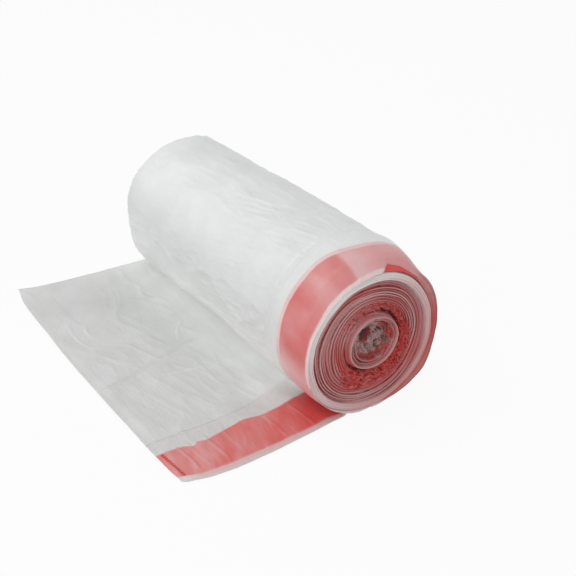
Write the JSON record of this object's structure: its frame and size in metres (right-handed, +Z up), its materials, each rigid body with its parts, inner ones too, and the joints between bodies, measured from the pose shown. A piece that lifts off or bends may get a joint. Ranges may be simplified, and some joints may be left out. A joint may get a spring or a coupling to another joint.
{
  "type": "drawstring bag roll",
  "caption": "Coreless roll of thin translucent film bags with draw tapes in their mouth hems, lying on its side with the first bag run out flat on the floor.",
  "frame": {"origin": "centre of the bounding box, on the floor the roll lies on", "axes": "+X along the roll towards the bag mouths and their tapes; -Y towards the free edge of the first bag; +Z up"},
  "size_m": [0.273, 0.2016, 0.1131],
  "materials": {
    "film": "translucent blown polyethylene film, softly creased",
    "tape": "red polyethylene tape"
  },
  "bodies": {
    "root": {"bag_web": "film", "lead_bag_tape": "tape", "wound_tapes": "tape"}
  },
  "joints": []
}
